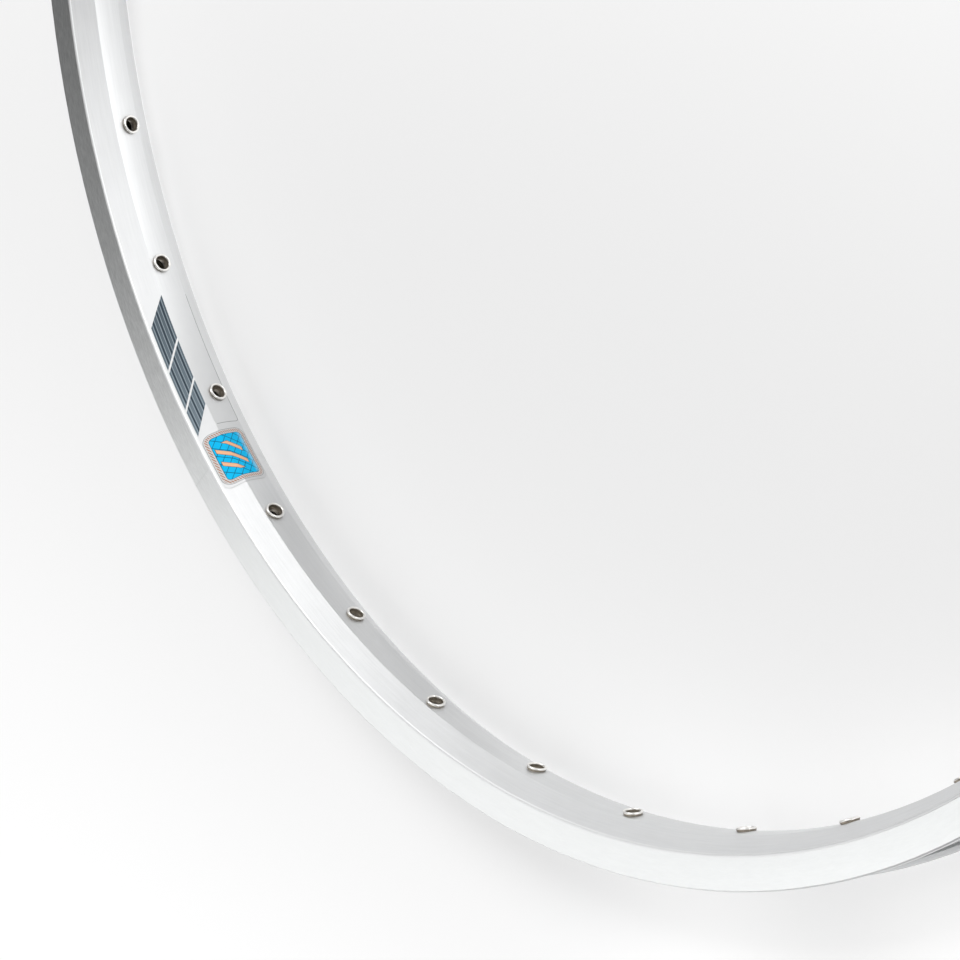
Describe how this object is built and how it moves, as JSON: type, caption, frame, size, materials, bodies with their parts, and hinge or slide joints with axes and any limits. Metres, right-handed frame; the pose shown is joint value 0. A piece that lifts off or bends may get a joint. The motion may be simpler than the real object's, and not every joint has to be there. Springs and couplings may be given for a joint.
{
  "type": "bicycle rim",
  "caption": "Round double-wall aluminium bicycle rim with brake tracks, hooked tyre flanges, staggered eyelets for the spokes, a valve hole and a small foil label.",
  "frame": {"origin": "centre of the wheel, on its axis and midway between the two brake tracks", "axes": "+Z along the wheel axis, upwards as the rim lies flat; +X through the valve hole, so that the butt joint and the label are at -X"},
  "size_m": [0.6329, 0.633, 0.025],
  "materials": {
    "rim_aluminium": "satin",
    "sleeve_aluminium": "matte",
    "eyelet_steel": "polished",
    "label_foil": "gloss"
  },
  "bodies": {
    "root": {"rim_hoop": "rim_aluminium", "joint_sleeve": "sleeve_aluminium", "upper_eyelets": "eyelet_steel", "lower_eyelets": "eyelet_steel", "foil_label": "label_foil"}
  },
  "joints": []
}
